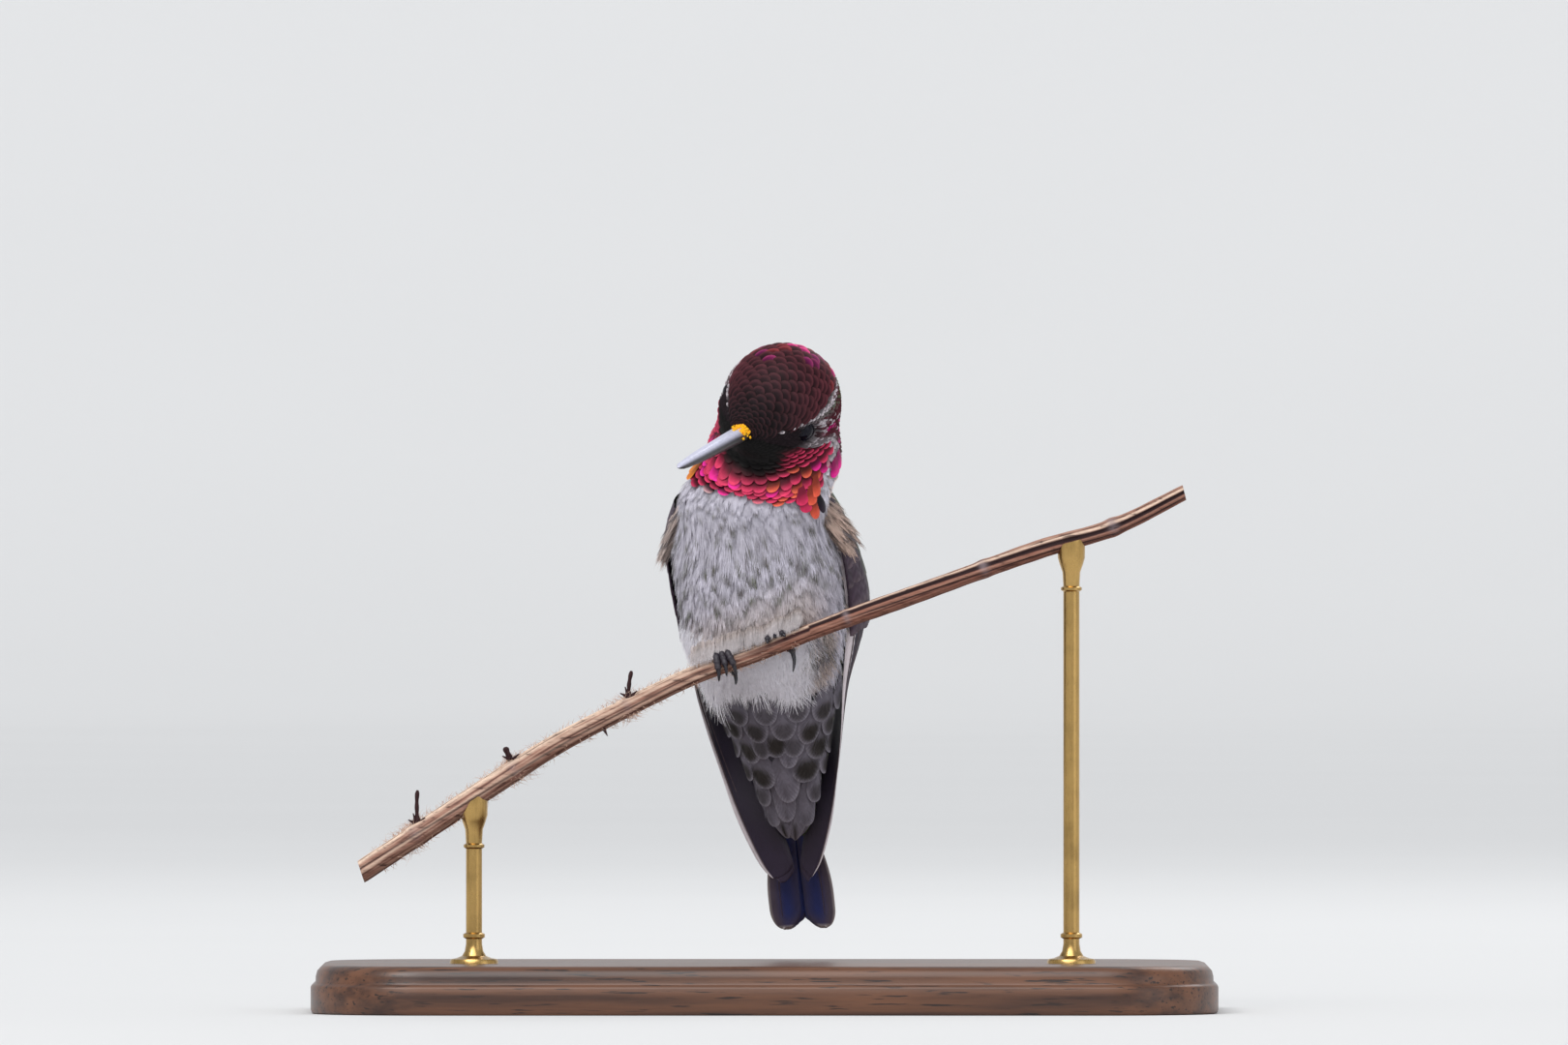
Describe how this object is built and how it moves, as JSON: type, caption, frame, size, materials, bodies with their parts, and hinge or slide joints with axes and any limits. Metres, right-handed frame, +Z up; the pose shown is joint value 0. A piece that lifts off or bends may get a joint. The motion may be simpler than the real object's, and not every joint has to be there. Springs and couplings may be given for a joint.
{
  "type": "hummingbird",
  "caption": "Life-size still model of a perched male Anna's hummingbird, head turned, gripping a cut twig held by two rods on a flat base",
  "frame": {"origin": "the middle of the underside of the base, under the middle of the overall box, on the surface that the model stands on", "axes": "+Z up; +X along the base and the twig, to the right of someone who faces the bird; -Y the side that the bird faces, so its bill points to -Y and -X"},
  "size_m": [0.112, 0.06, 0.0826],
  "materials": {
    "plumage_crown": "small iridescent scale feathers, maroon with coppery rims, near black over the bill",
    "plumage_throat": "iridescent scale feathers from black below the bill to rose, orange and magenta at the rim",
    "plumage_breast": "soft loose grey barbs mottled with dark and greenish spots, white at the vent",
    "plumage_covert": "rounded grey feathers with dark brown ovals and pale rims",
    "bill": "smooth dark horn, faintly ridged, satin",
    "eye": "wet dark brown, near black, mirror-smooth",
    "flight_feather": "dusky purple-brown vanes with dark shafts and pale leading edges",
    "tail_feather": "dark blue-grey vanes with pale grey rims",
    "foot": "fine black scutes with glossy black claws",
    "bark": "dry ridged bark, pale tan to brown, with dark grooves and scars",
    "base_wood": "oiled walnut, satin, fine straight grain",
    "rod_brass": "brushed brass, satin"
  },
  "bodies": {
    "root": {"head": "plumage_crown", "neck": "plumage_throat", "trunk": "plumage_breast", "tail_coverts": "plumage_covert", "bill_upper": "bill", "bill_lower": "bill", "eye_left": "eye", "eye_right": "eye", "wing_left": "flight_feather", "wing_right": "flight_feather", "tail": "tail_feather", "leg_left": "foot", "leg_right": "foot", "foot_left": "foot", "foot_right": "foot", "perch": "bark", "stand_base": "base_wood", "stand_rod_left": "rod_brass", "stand_rod_right": "rod_brass"}
  },
  "joints": []
}
